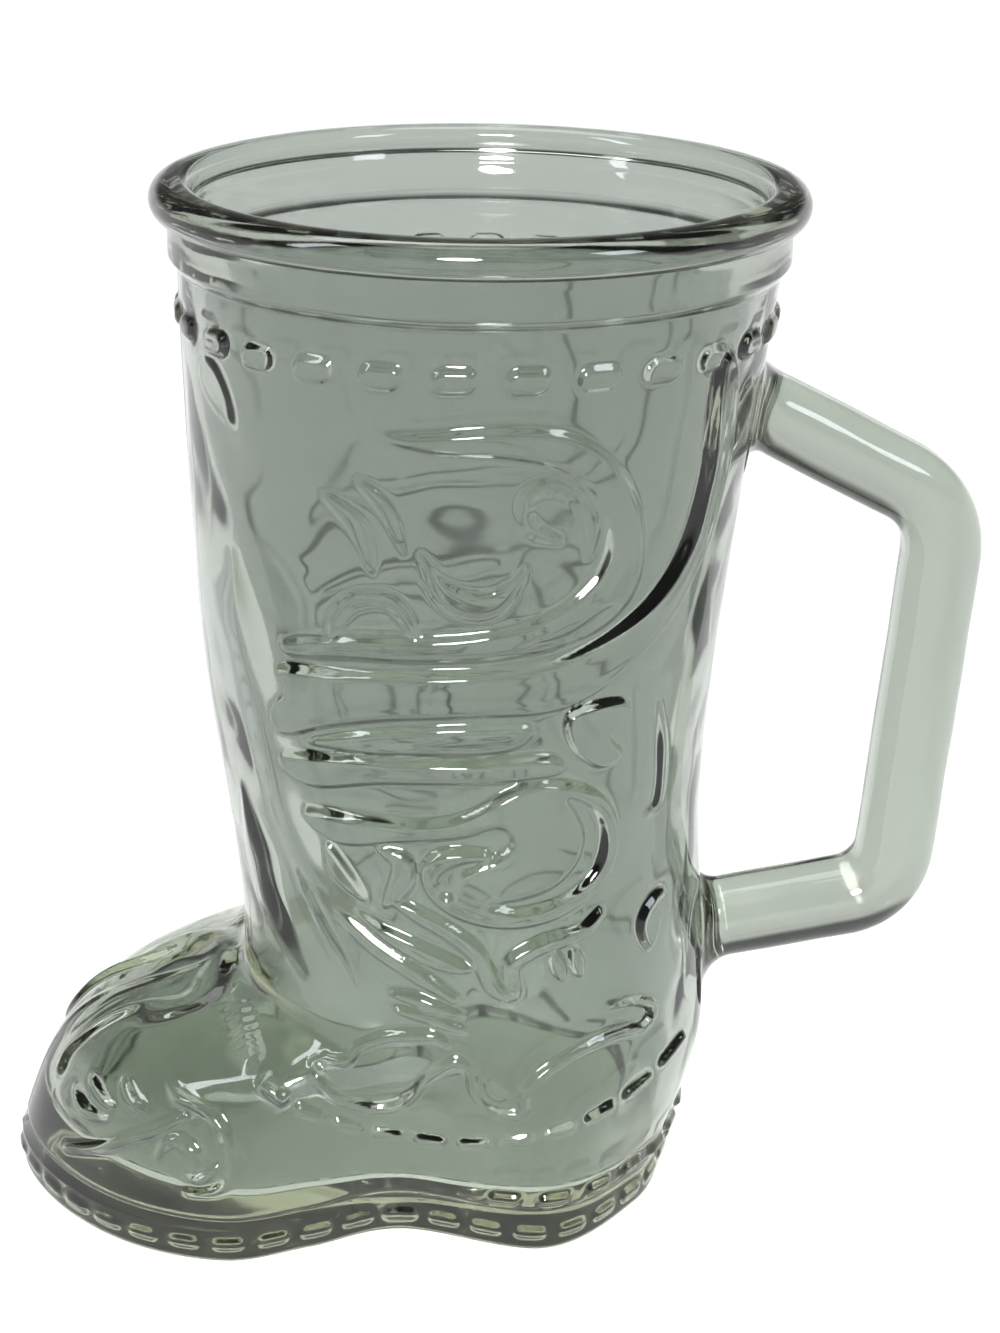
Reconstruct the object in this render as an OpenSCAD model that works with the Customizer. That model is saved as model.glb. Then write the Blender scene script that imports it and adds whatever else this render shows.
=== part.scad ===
/* [Mouth] */
// Height from the resting face to the top of the rim
mug_h = 150; // [125:1:180]
// Outside diameter of the rim bead
mouth_d = 89; // [80:0.5:100]
// Height of the rim bead
bead_h = 5; // [3.6:0.1:7]
// How far the bead stands out from the collar band
bead_step = 2.3; // [1:0.1:2.8]
// Height of the plain collar band
collar_h = 6.3; // [4:0.1:9]
// How far the collar band stands out from the leg
collar_step = 1.3; // [0.6:0.1:2.5]
// Thickness of the glass wall
wall = 4.2; // [3:0.1:5.5]
// How far the bore steps out at the top, inside the rim bead
rim_ledge = 0.7; // [0.2:0.1:1.2]

/* [Boot] */
// Diameter of the leg at its narrowest, above the ankle
ankle_d = 66.4; // [58:0.2:72]
// Height of the plane where the leg stands on the foot
ankle_h = 46; // [42:0.5:52]
// Height at which the top of the vamp runs into the leg
vamp_h = 36; // [33:0.5:40]
// Height at which the heel counter is fullest
counter_h = 27; // [20:0.5:32]
// Reach of the toe in front of the mouth's axis
toe_reach = 68.7; // [62:0.2:76]
// Reach of the heel behind the mouth's axis
heel_reach = 30.2; // [29:0.2:34]
// Width of the sole across the ball of the foot
ball_w = 63.8; // [60:0.5:74]
// Width of the sole across the waist
waist_w = 50.2; // [46:0.2:58]
// Width of the sole across the heel
heel_w = 62; // [58:0.5:67]
// Thickness of the sole
sole_h = 6.5; // [5:0.1:8]
// Height of the floor of the cavity
floor_h = 8.2; // [8.1:0.1:11]
// Width of the bevel round the bottom of the sole
sole_bevel = 1.1; // [0.5:0.1:1.8]

/* [Handle] */
// Thickness of the handle bar in the plane of the D
bar_t = 11.3; // [9:0.1:13]
// Width of the handle bar across the D
bar_w = 13; // [10:0.1:16]
// Corner radius of the bar's section
bar_round = 4; // [2.5:0.1:4.4]
// How much thicker the bar is where it meets the leg
root_flare = 2.4; // [0:0.1:4]
// Reach of the grip's top corner behind the mouth's axis
grip_top_reach = 67.6; // [63:0.2:73]
// Reach of the grip's bottom corner behind the mouth's axis
grip_low_reach = 63; // [59:0.2:68]
// How far below the rim the upper arm leaves the leg
arm_top_drop = 30.5; // [28:0.5:38]
// How far below the rim the grip's top corner lies
grip_top_drop = 46.5; // [43:0.2:52]
// Height of the grip's bottom corner
grip_low_h = 42.5; // [39:0.2:48]
// Height of the lower arm where it leaves the leg
arm_low_h = 37; // [34:0.2:42]
// Bend radius of the handle's centre line at the top corner
bend_top_r = 12; // [9:0.5:15]
// Bend radius of the handle's centre line at the bottom corner
bend_low_r = 9; // [7:0.5:12]

/* [Tooling] */
// Number of dashes round the collar
collar_dashes = 28; // [20:1:34]
// Length of a collar dash
collar_dash_l = 5.6; // [4:0.1:6.5]
// Height of a collar dash
collar_dash_h = 3; // [2:0.1:4]
// How far the collar dashes lie under the collar band
collar_dash_drop = 6.4; // [4:0.1:9]
// Number of dashes round the edge of the sole
welt_dashes = 42; // [34:2:54]
// Length of a dash on the foot and the sole
foot_dash_l = 4.6; // [3:0.1:5.6]
// Height of a dash on the foot and the sole
foot_dash_h = 1.6; // [1:0.1:2.4]
// Width of a raised line at its widest
line_w = 2.2; // [1.4:0.1:3]
// Width of the raised strips down the front of the leg
strip_w = 4.6; // [3:0.1:6]
// How far every raised line and dash stands out
relief = 0.8; // [0.4:0.05:1.2]

/* [Hidden] */

// Levels and radii worked out from the sizes above
bead_z = mug_h - bead_h;
leg_top_z = bead_z - collar_h;
rim_r = mouth_d / 2;
collar_r = rim_r - bead_step;
leg_top_r = collar_r - collar_step;
bore_r = leg_top_r - wall;
collar_bore_r = collar_r - wall;
mouth_r = collar_bore_r + rim_ledge;
ankle_r = ankle_d / 2;
// Small lengths
bead_round = bead_h / 2;
lip_round = 1.6;
floor_round = 3;
sunk = 0.6;
// Where the collar's row of dashes starts, as a share of a step round the leg
collar_dash_turn = 0.8;
// How far the flat underside of a raised line stays off the curved skin
seat = 0.1;
// Steps of the round shapes
ARC = 96;
SPAN_STEPS = 4;
BEND_STEPS = 5;
ROUND_STEPS = 4;

// Angles round the leg between which the heel's rule gives way to the toe's
TOE_FROM = 75;
TOE_OVER = 45;

// Height, front and back of the leg: shares of the leg's top height, and of the step from
// the ankle's radius to the radius under the collar
leg_line_shares = [
    [0, 0.10, 0.23], [0.20, 0.10, 0.23], [0.317, 0.12, 0.12], [0.382, 0.23, 0.03],
    [0.44, 0.38, 0], [0.52, 0.57, 0.05], [0.642, 0.78, 0.22], [0.793, 0.90, 0.53],
    [1, 1, 1]
];
// Heights of the leg's rings between the ankle plane and the collar
leg_ring_shares = [0, 0.08, 0.17, 0.28, 0.42, 0.57, 0.72, 0.86, 1];
// Top line of the vamp: height as a share of the vamp's height, and how much of the toe's
// reach in front of the leg is left there
vamp_line_shares = [
    [0, 1], [0.17, 0.985], [0.34, 0.93], [0.51, 0.855], [0.65, 0.755], [0.74, 0.63],
    [0.795, 0.48], [0.85, 0.27], [0.91, 0.09], [0.98, 0.01], [1.06, 0]
];
vamp_end_share = vamp_line_shares[len(vamp_line_shares) - 1][0];
// Heights of the foot's rings between the sole and the ankle plane
foot_ring_shares = [
    0, 0.08, 0.18, 0.29, 0.40, 0.49, 0.56, 0.62, 0.67, 0.72, 0.78, 0.86, 1
];
// Half outline of the sole from the heel to the toe: shares of the reach and of the half width
heel_outline_shares = [[1, 0], [0.93, 0.28], [0.76, 0.64], [0.30, 1]];
waist_outline_shares = [[-0.165, 1]];
toe_outline_shares = [[-0.36, 0.91], [-0.54, 1], [-0.75, 0.83], [-0.92, 0.46], [-1, 0]];
// Angle round the leg that each point of the outline grows from
outline_angles = [0, 20, 41, 68, 100, 120, 136, 151, 165, 180];

function mix(a, b, t) = a + (b - a) * t;
function ease(t) = let (u = min(max(t, 0), 1)) u * u * (3 - 2 * u);
function unit(v) = v / norm(v);

// Smooth curve through four points, at share t between the middle two
function glide(a, b, c, d, t) =
    (2 * b + (c - a) * t + (2 * a - 5 * b + 4 * c - d) * t * t
        + (3 * b - a - 3 * c + d) * t * t * t) / 2;

// Value of a column of a table, eased between its rows
function row_at(table, x) = max([for (i = [0:len(table) - 2]) if (x >= table[i][0]) i]);
function slope(table, i, col) =
    let (a = table[max(i - 1, 0)], b = table[min(i + 1, len(table) - 1)])
    (b[col] - a[col]) / (b[0] - a[0]);
function column(table, x, col) =
    let (
        i = row_at(table, x),
        a = table[i],
        b = table[i + 1],
        w = b[0] - a[0],
        t = min((x - a[0]) / w, 1),
        m = slope(table, i, col) * w,
        n = slope(table, i + 1, col) * w
    )
    (2 * t * t * t - 3 * t * t + 1) * a[col] + (t * t * t - 2 * t * t + t) * m
        + (3 * t * t - 2 * t * t * t) * b[col] + (t * t * t - t * t) * n;

// Front and back of the leg at a height
function leg_front(z) = mix(ankle_r, leg_top_r, column(leg_line_shares, z / leg_top_z, 1));
function leg_back(z) = mix(ankle_r, leg_top_r, column(leg_line_shares, z / leg_top_z, 2));
function leg_mid(z) = (leg_back(z) - leg_front(z)) / 2;
function leg_r(z) = (leg_back(z) + leg_front(z)) / 2;

// The sole's half outline
outline_knots = concat(
    [for (s = heel_outline_shares) [s[0] * heel_reach, s[1] * heel_w / 2]],
    [for (s = waist_outline_shares) [s[0] * toe_reach, s[1] * waist_w / 2]],
    [for (s = toe_outline_shares) [s[0] * toe_reach, s[1] * ball_w / 2]]
);
LAST = len(outline_knots) - 1;
HALF = LAST * SPAN_STEPS;
function knot(i) =
    i < 0 ? [outline_knots[-i][0], -outline_knots[-i][1]]
    : i > LAST ? [outline_knots[2 * LAST - i][0], -outline_knots[2 * LAST - i][1]]
    : outline_knots[i];
function sole_point(i) =
    let (k = min(floor(i / SPAN_STEPS), LAST - 1), t = i / SPAN_STEPS - k)
    glide(knot(k - 1), knot(k), knot(k + 1), knot(k + 2), t);
function turn_at(i) =
    let (k = min(floor(i / SPAN_STEPS), LAST - 1), t = i / SPAN_STEPS - k)
    mix(outline_angles[k], outline_angles[k + 1], t);
sole_points = [for (i = [0:HALF]) sole_point(i)];
turns = [for (i = [0:HALF]) turn_at(i)];
// Share of the toe's rule at each point; the rest follows the heel's rule
toe_shares = [for (a = turns) ease((a - TOE_FROM) / TOE_OVER)];

function toe_share(z) = max(column(vamp_line_shares, min(z / vamp_h, vamp_end_share), 1), 0);
function heel_share(z) = 1 - ease(z / counter_h);

// Half ring of the outside at height z, with the vamp's line read at height roof_z
function half_ring(z, roof_z) =
    let (
        mid = leg_mid(z),
        r = leg_r(z),
        toe = toe_share(roof_z),
        heel = heel_share(z)
    )
    [for (i = [0:HALF])
        let (c = [mid + r * cos(turns[i]), r * sin(turns[i])], k = mix(heel, toe, toe_shares[i]))
        c + k * (sole_points[i] - c)];
function closed(half) =
    concat(half, [for (i = [HALF - 1:-1:1]) [half[i][0], -half[i][1]]]);
RING = 2 * HALF;
// A ring moved in by a distance, square to its edge
function inset(ring, by) =
    [for (i = [0:len(ring) - 1])
        let (
            n = len(ring),
            along = unit(ring[(i + 1) % n] - ring[(i + n - 1) % n])
        )
        ring[i] - by * [along[1], -along[0]]];
function at_z(ring, z) = [for (p = ring) [p[0], p[1], z]];

function skin_ring(z) = closed(half_ring(z, z));
function bore_ring(z) = inset(closed(half_ring(z, z + wall)), wall);

// A closed body through a list of rings, each with the same number of points
module through(rings) {
    n = len(rings[0]);
    last = len(rings) - 1;
    polyhedron(
        points = [for (r = rings) for (p = r) p],
        faces = concat(
            [[for (i = [0:n - 1]) i]],
            [for (k = [0:last - 1]) for (i = [0:n - 1])
                [k * n + i, (k + 1) * n + i, (k + 1) * n + (i + 1) % n]],
            [for (k = [0:last - 1]) for (i = [0:n - 1])
                [k * n + i, (k + 1) * n + (i + 1) % n, k * n + (i + 1) % n]],
            [[for (i = [n - 1:-1:0]) last * n + i]]
        )
    );
}

// A tube wall: rings that go up the outside and down the inside, and close on themselves
module shell_loop(rings) {
    n = len(rings[0]);
    m = len(rings);
    polyhedron(
        points = [for (r = rings) for (p = r) p],
        faces = concat(
            [for (k = [0:m - 1]) for (i = [0:n - 1])
                [k * n + i, ((k + 1) % m) * n + i, ((k + 1) % m) * n + (i + 1) % n]],
            [for (k = [0:m - 1]) for (i = [0:n - 1])
                [k * n + i, ((k + 1) % m) * n + (i + 1) % n, k * n + (i + 1) % n]]
        )
    );
}

function arc(c, r, from, to) =
    [for (k = [0:BEND_STEPS * 2])
        let (a = mix(from, to, k / (BEND_STEPS * 2))) c + r * [cos(a), sin(a)]];

module rim_bead() {
    color("#aebfb6")
        rotate_extrude($fn = ARC)
            polygon(concat(
                [[collar_bore_r, bead_z], [collar_r, bead_z]],
                arc([rim_r - bead_round, bead_z + bead_round], bead_round, -60, 90),
                arc([mouth_r + lip_round, mug_h - lip_round], lip_round, 90, 180),
                [[mouth_r, bead_z + rim_ledge]]
            ));
}

module collar_band() {
    color("#a6b8ae")
        rotate_extrude($fn = ARC)
            polygon([
                [bore_r, leg_top_z],
                [leg_top_r, leg_top_z],
                [collar_r, leg_top_z + collar_step],
                [collar_r, bead_z],
                [collar_bore_r, bead_z]
            ]);
}

leg_levels = [for (s = leg_ring_shares) mix(ankle_h, leg_top_z, s)];

module leg() {
    last = len(leg_levels) - 1;
    color("#9fb3a8")
        shell_loop(concat(
            [for (z = leg_levels) at_z(skin_ring(z), z)],
            [for (k = [last:-4:0]) at_z(bore_ring(leg_levels[k]), leg_levels[k])]
        ));
}

foot_levels = [for (s = foot_ring_shares) mix(sole_h, ankle_h, s)];
// The cavity's rings: the floor's rounded edge, then the foot's own levels above it
bore_levels = [for (z = foot_levels) if (z > floor_h + floor_round) z];
function floor_ring(k) =
    let (
        a = 90 * k / ROUND_STEPS,
        z = floor_h + floor_round * (1 - cos(a)),
        in = floor_round * (1 - sin(a))
    )
    at_z(inset(bore_ring(floor_h + floor_round), in), z);

module foot() {
    top = len(bore_levels) - 1;
    color("#94aa9d")
        through(concat(
            [for (z = foot_levels) at_z(skin_ring(z), z)],
            [for (k = [top:-2:0]) at_z(bore_ring(bore_levels[k]), bore_levels[k])],
            [for (k = [ROUND_STEPS:-1:0]) floor_ring(k)]
        ));
}

// The sole's under edge is bevelled, and cut flat where the mug stands
module sole() {
    edge = closed(sole_points);
    color("#6f8a7b")
        difference() {
            through([
                at_z(inset(edge, 2 * sole_bevel), -sole_bevel),
                at_z(edge, sole_bevel),
                at_z(edge, sole_h - sole_bevel),
                at_z(skin_ring(sole_h), sole_h)
            ]);
            translate([-toe_reach, -ball_w, -sole_bevel * 2])
                cube([toe_reach + heel_reach, 2 * ball_w, 2 * sole_bevel]);
        }
}

// The handle's centre line in the plane of the D: two arms and a grip with round corners
function bend(a, b, c, r) =
    let (
        u = unit(a - b),
        v = unit(c - b),
        half = acos(u * v) / 2,
        mid = b + unit(u + v) * r / sin(half),
        from = b + u * r / tan(half) - mid,
        to = b + v * r / tan(half) - mid,
        sweep = 180 - 2 * half
    )
    [for (k = [0:BEND_STEPS])
        let (t = k / BEND_STEPS)
        mid + (from * sin((1 - t) * sweep) + to * sin(t * sweep)) / sin(sweep)];
arm_top_h = mug_h - arm_top_drop;
arm_top_start = [leg_back(arm_top_h) - wall / 2, arm_top_h];
arm_low_end = [leg_back(arm_low_h) - wall / 2, arm_low_h];
grip_top = [grip_top_reach, mug_h - grip_top_drop];
grip_low = [grip_low_reach, grip_low_h];
bar_bends = concat(
    bend(arm_top_start, grip_top, grip_low, bend_top_r),
    bend(grip_top, grip_low, arm_low_end, bend_low_r)
);
// The flare at each root is gone within this share of the arm
flare_share = 0.45;
bar_path = concat(
    [arm_top_start, mix(arm_top_start, bar_bends[0], flare_share)],
    bar_bends,
    [mix(arm_low_end, bar_bends[len(bar_bends) - 1], flare_share), arm_low_end]
);
BAR_LAST = len(bar_path) - 1;

// The bar's section as [across the D, in the plane of the D], grown by a length
function bar_section(grow) =
    [for (q = [0:3]) for (k = [0:ROUND_STEPS])
        let (a = 90 * (q + k / ROUND_STEPS), s = [q == 0 || q == 3 ? 1 : -1, q < 2 ? 1 : -1])
        [s[0] * ((bar_w + grow) / 2 - bar_round) + bar_round * cos(a),
         s[1] * ((bar_t + grow) / 2 - bar_round) + bar_round * sin(a)]];
// One ring of the bar, square to its path at point c
function bar_ring(c, along) =
    [for (p = bar_section(0))
        [c[0] - along[1] * p[1], p[0], c[1] + along[0] * p[1]]];
// A point moved along the arm until it lies on the leg's skin
function seated(p, along, tries) =
    let (x = leg_mid(p[2]) + sqrt(leg_r(p[2]) * leg_r(p[2]) - p[1] * p[1]))
    tries == 0 ? [x, p[1], p[2]]
    : seated([x, p[1], p[2] + (x - p[0]) * along[1] / along[0]], along, tries - 1);
// The root's face on the leg, as rings that shrink towards its middle
function root_rings(c, along) =
    [for (s = root_shares)
        [for (p = bar_section(root_flare))
            seated([c[0] - along[1] * p[1] * s, p[0] * s, c[1] + along[0] * p[1] * s],
                   along, SEAT_TRIES)]];
function path_along(k) =
    unit(bar_path[min(k + 1, BAR_LAST)] - bar_path[max(k - 1, 0)]);
root_shares = [0.1, 0.55, 1];
SEAT_TRIES = 6;

module handle() {
    first = unit(bar_path[1] - bar_path[0]);
    final = unit(bar_path[BAR_LAST] - bar_path[BAR_LAST - 1]);
    lower = root_rings(bar_path[BAR_LAST], final);
    color("#a9bbb1")
        through(concat(
            root_rings(bar_path[0], first),
            [for (k = [1:BAR_LAST - 1])
                bar_ring(bar_path[k], path_along(k))],
            [for (k = [len(lower) - 1:-1:0]) lower[k]]
        ));
}

// The solid inside the leg and foot's skin, for cutting what seats on it
module skin_solid() {
    low = [for (z = foot_levels) at_z(skin_ring(z), z)];
    high = [for (k = [1:len(leg_levels) - 1]) at_z(skin_ring(leg_levels[k]), leg_levels[k])];
    through(concat(low, high));
}

// A spot on the skin is written as [place round the half ring, height]
HALF_STEP = 0.5;
probe = relief / 2;
function at_place(half, i) =
    let (j = min(max(i, 0), HALF), k = min(floor(j), HALF - 1))
    mix(half[k], half[k + 1], j - k);
function skin_at(spot) = concat(at_place(half_ring(spot[1], spot[1]), spot[0]), spot[1]);
// The way the skin faces there
function facing(spot) =
    let (
        half = half_ring(spot[1], spot[1]),
        above = half_ring(spot[1] + probe, spot[1] + probe),
        below = half_ring(spot[1] - probe, spot[1] - probe),
        round = at_place(half, spot[0] + HALF_STEP) - at_place(half, spot[0] - HALF_STEP),
        rise = at_place(above, spot[0]) - at_place(below, spot[0])
    )
    unit(cross(concat(round, 0), concat(rise, 2 * probe)));

// The spot that a point of the side view falls on, and one that a point of the front view does
function side_spot(x, z) =
    let (half = half_ring(z, z)) [lookup(x, [for (i = [0:HALF]) [half[i][0], i]]), z];
function front_spot(y, z) =
    let (half = half_ring(z, z)) [lookup(-y, [for (i = [FRONT:HALF]) [-half[i][1], i]]), z];
function turn_spot(a, z) = [lookup(a, [for (i = [0:HALF]) [turns[i], i]]), z];
// The first place of the half ring that the front view shows
FRONT = 6 * SPAN_STEPS;

// A smooth line through a few points, with a number of steps between each two
function smooth(points, steps) =
    let (last = len(points) - 1)
    concat([points[0]], [for (k = [0:last - 1]) for (j = [1:steps])
        glide(points[max(k - 1, 0)], points[k], points[k + 1], points[min(k + 2, last)],
              j / steps)]);

// A raised line along spots on the skin, with a flat top and low ends
tip_share = 0.4;
top_share = 0.5;
module ridge(spots, width, leaf = false) {
    last = len(spots) - 1;
    feet = [for (s = spots) skin_at(s)];
    through([for (k = [0:last])
        let (
            full = leaf ? max(sin(180 * k / last), tip_share / 2)
                : k == 0 || k == last ? tip_share : 1,
            out = facing(spots[k]),
            along = unit(feet[min(k + 1, last)] - feet[max(k - 1, 0)]),
            side = unit(cross(out, along)) * width * full / 2,
            foot = feet[k] + seat * out,
            top = feet[k] + relief * max(full, tip_share) * out
        )
        [foot - side, foot + side, top + top_share * side, top - top_share * side]]);
}
function spots(points, steps, x_size, z_size, z_from) =
    [for (p = smooth(points, steps)) side_spot(p[0] * x_size, z_from + p[1] * z_size)];
module line(points, steps, x_size, z_size, width = line_w, z_from = 0) {
    ridge(spots(points, steps, x_size, z_size, z_from), width);
}
module leaf(points, x_size, z_size, width = line_w, z_from = 0) {
    ridge(spots(points, 2, x_size, z_size, z_from), width, true);
}
// A short dash between two spots
module stitch(from, to, width = foot_dash_h) {
    ridge([from, mix(from, to, tip_share / 2), mix(from, to, 1 - tip_share / 2), to], width);
}
module both_sides() {
    children();
    mirror([0, 1, 0])
        children();
}

// The tooling on the leg, in the side view: shares of the leg's top radius, and of the height from
// the plane at the ankle to the leg's top
leg_run = leg_top_z - ankle_h;
leg_line_point_shares = [
    // The upper scroll, from its top left round to the band below it
    [[-0.32, 0.825], [-0.05, 0.847], [0.20, 0.847], [0.37, 0.798], [0.46, 0.711],
     [0.43, 0.615], [0.27, 0.551], [0.02, 0.52], [-0.24, 0.515], [-0.49, 0.496], [-0.66, 0.461]],
    // The curl inside it
    [[0.39, 0.604], [0.37, 0.671], [0.32, 0.723], [0.23, 0.768], [0.13, 0.78],
     [0.086, 0.753], [0.12, 0.711], [0.15, 0.678]],
    // The band's lower edge, which sweeps up beside the handle
    [[-0.66, 0.399], [-0.415, 0.424], [-0.12, 0.442], [0.135, 0.452], [0.28, 0.479],
     [0.415, 0.518], [0.52, 0.583], [0.553, 0.669], [0.543, 0.755], [0.565, 0.813], [0.6, 0.865]],
    // The long tongue under the band
    [[-0.55, 0.379], [-0.38, 0.405], [-0.2, 0.416], [-0.05, 0.427], [0.065, 0.43],
     [0.08, 0.397], [-0.04, 0.382], [-0.15, 0.378], [-0.3, 0.372], [-0.45, 0.369]],
    // The lower scroll, which curls up inside itself
    [[-0.61, 0.297], [-0.34, 0.328], [-0.07, 0.342], [0.17, 0.333], [0.34, 0.291], [0.41, 0.22],
     [0.35, 0.146], [0.19, 0.102], [0, 0.101], [-0.147, 0.136], [-0.188, 0.183],
     [-0.108, 0.217], [0.01, 0.22]],
    // The line under the lower scroll's top
    [[-0.61, 0.243], [-0.4, 0.27], [-0.2, 0.264], [-0.03, 0.27]],
    // The tail that drops to the ankle and comes up again
    [[-0.28, 0.135], [-0.16, 0.092], [-0.055, 0.057], [-0.02, 0.02], [0.04, -0.02],
     [0.1, 0.002], [0.066, 0.047], [0.2, 0.059], [0.33, 0.072], [0.385, 0.114]],
    // The long diagonal to the ankle
    [[-0.6, 0.177], [-0.52, 0.125], [-0.4, 0.065], [-0.23, 0.008], [-0.11, -0.028]]
];
leg_leaf_point_shares = [
    [[-0.24, 0.746], [-0.22, 0.663], [-0.1, 0.612], [0.02, 0.611], [0.11, 0.645]],
    [[0.03, 0.3], [0.17, 0.312], [0.28, 0.267], [0.29, 0.2], [0.19, 0.155], [0.03, 0.153]],
    [[-0.56, 0.285], [-0.39, 0.306], [-0.2, 0.271]],
    [[0.43, 0.454], [0.3, 0.436], [0.24, 0.403], [0.27, 0.36], [0.4, 0.334]],
    [[0.53, 0.454], [0.525, 0.357], [0.5, 0.289]],
    [[0.62, 0.102], [0.65, 0.042], [0.57, -0.017]],
    [[0.71, 0.895], [0.68, 0.835], [0.64, 0.776]],
    [[0.28, 0.048], [0.25, 0.02], [0.22, -0.002]],
    [[0.35, 0.053], [0.33, 0.023], [0.3, -0.002]],
    [[-0.38, 0.11], [-0.33, 0.065], [-0.25, 0.039], [-0.16, 0.024], [-0.09, 0.012]]
];
module leg_scrolls() {
    for (points = leg_line_point_shares)
        line(points, 2, leg_top_r, leg_run, line_w, ankle_h);
    for (points = leg_leaf_point_shares)
        leaf(points, leg_top_r, leg_run, line_w * 1.3, ankle_h);
}
module leg_scrolls_near() {
    color("#d3dfd8")
        mirror([0, 1, 0])
            leg_scrolls();
}
module leg_scrolls_far() {
    color("#d3dfd8")
        leg_scrolls();
}

// The broad strips down the front of the leg, and the leaf above them
leg_strip_shares = [[-0.822, 0.581], [-0.8, 0.491], [-0.765, 0.379], [-0.72, 0.267],
    [-0.665, 0.162], [-0.59, 0.072], [-0.49, -0.002], [-0.43, -0.04]];
low_strip_shares = [[-0.8, 0.207], [-0.77, 0.102], [-0.735, -0.002], [-0.66, -0.122]];
top_leaf_shares = [[-0.89, 0.873], [-0.87, 0.82], [-0.82, 0.768]];
module leg_bands() {
    color("#86a094")
        both_sides() {
            line(leg_strip_shares, 2, leg_top_r, leg_run, strip_w, ankle_h);
            line(low_strip_shares, 2, leg_top_r, leg_run, strip_w * 0.7, ankle_h);
            leaf(top_leaf_shares, leg_top_r, leg_run, strip_w * 0.6, ankle_h);
        }
}

// The wing at the ankle: shares of the ankle's radius and of the height of its plane
wing_low_shares = [[-0.72, 0.667], [-0.70, 0.61], [-0.62, 0.55], [-0.475, 0.505],
    [-0.36, 0.52], [-0.29, 0.58], [-0.24, 0.665], [-0.14, 0.73], [-0.066, 0.70],
    [-0.05, 0.625], [0.02, 0.552], [0.155, 0.543], [0.16, 0.615], [0.24, 0.68],
    [0.377, 0.733], [0.555, 0.757], [0.69, 0.743], [0.73, 0.787], [0.65, 0.84], [0.51, 0.86]];
wing_top_shares = [[-0.68, 0.68], [-0.585, 0.683], [-0.525, 0.735], [-0.41, 0.79],
    [-0.24, 0.817], [-0.16, 0.79]];
wing_leaf_shares = [
    [[-0.41, 0.945], [-0.27, 0.93], [-0.1, 0.887]],
    [[-0.39, 0.89], [-0.24, 0.88], [-0.08, 0.835]],
    [[0, 0.67], [0.04, 0.62], [0.085, 0.6]]
];
module ankle_wings() {
    color("#d3dfd8")
        both_sides() {
            line(wing_low_shares, 1, ankle_r, ankle_h, line_w * 0.6);
            line(wing_top_shares, 2, ankle_r, ankle_h, line_w * 0.6);
            for (points = wing_leaf_shares)
                leaf(points, ankle_r, ankle_h, line_w * 0.8);
        }
}

// The cap line over the toe, in the front view, and the curls under it, in the side view: shares of
// the foot's sizes and of the vamp's height
cap_line_shares = [[0.26, 0.524], [0.235, 0.588], [0.245, 0.667], [0.238, 0.739],
    [0.226, 0.781], [0.266, 0.805], [0.35, 0.818], [0.342, 0.84], [0.254, 0.869],
    [0.1, 0.897], [0, 0.907]];
toe_line_point_shares = [
    [[-0.88, 0.287], [-0.8, 0.371], [-0.73, 0.464], [-0.67, 0.53], [-0.613, 0.613]],
    [[-0.65, 0.716], [-0.63, 0.67], [-0.588, 0.655], [-0.555, 0.626], [-0.53, 0.558],
     [-0.515, 0.452], [-0.524, 0.383], [-0.557, 0.328], [-0.612, 0.31]],
    [[-0.674, 0.414], [-0.656, 0.486], [-0.63, 0.514], [-0.598, 0.48], [-0.588, 0.434]],
    [[-0.616, 0.374], [-0.582, 0.369], [-0.549, 0.431]]
];
toe_leaf_point_shares = [
    [[-0.86, 0.52], [-0.835, 0.469], [-0.78, 0.497]],
    [[-0.82, 0.594], [-0.8, 0.562], [-0.77, 0.537]],
    [[-0.74, 0.664], [-0.733, 0.611], [-0.695, 0.575]]
];
module toe_scrolls() {
    color("#d3dfd8")
        both_sides() {
            ridge([for (p = smooth(cap_line_shares, 2))
                front_spot(p[0] * ball_w / 2, p[1] * vamp_h)], line_w * 0.8);
            for (points = toe_line_point_shares)
                line(points, 1, toe_reach, vamp_h, line_w * 0.5);
            for (points = toe_leaf_point_shares)
                leaf(points, toe_reach, vamp_h, line_w * 0.8);
        }
}

// One raised dash, its length along X and its face towards +Y, with softened edges
module dash(l, h) {
    hull() {
        translate([-l / 2, -sunk, -h / 2])
            cube([l, sunk, h]);
        translate([-l / 2 + relief / 2, 0, -h / 2 + relief / 2])
            cube([l - relief, relief, h - relief]);
    }
}

module collar_stitches() {
    z = leg_top_z - collar_dash_drop;
    color("#dfe8e2")
        difference() {
            for (k = [0:collar_dashes - 1])
                translate([leg_mid(z), 0, z])
                    rotate([0, 0, (k + collar_dash_turn) * 360 / collar_dashes])
                        translate([0, leg_r(z), 0])
                            dash(collar_dash_l, collar_dash_h);
            skin_solid();
        }
}

// The curve of dashes round the heel counter, in the side view
counter_line_shares = [[-1.07, 0.73], [-0.96, 0.62], [-0.77, 0.52], [-0.48, 0.417],
    [-0.21, 0.395], [0.135, 0.44], [0.42, 0.478], [0.7, 0.545], [0.92, 0.622]];
counter_steps = 3;
module counter_stitches() {
    curve = smooth(counter_line_shares, counter_steps);
    color("#dfe8e2")
        both_sides()
            for (k = [1:2:len(curve) - 2]) {
                ends = [for (p = [curve[k], curve[k + 1]])
                    side_spot(p[0] * ankle_r, p[1] * ankle_h)];
                middle = mix(ends[0], ends[1], 0.5);
                reach = foot_dash_l / norm(skin_at(ends[1]) - skin_at(ends[0]));
                stitch(mix(middle, ends[0], reach), mix(middle, ends[1], reach));
            }
}

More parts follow.
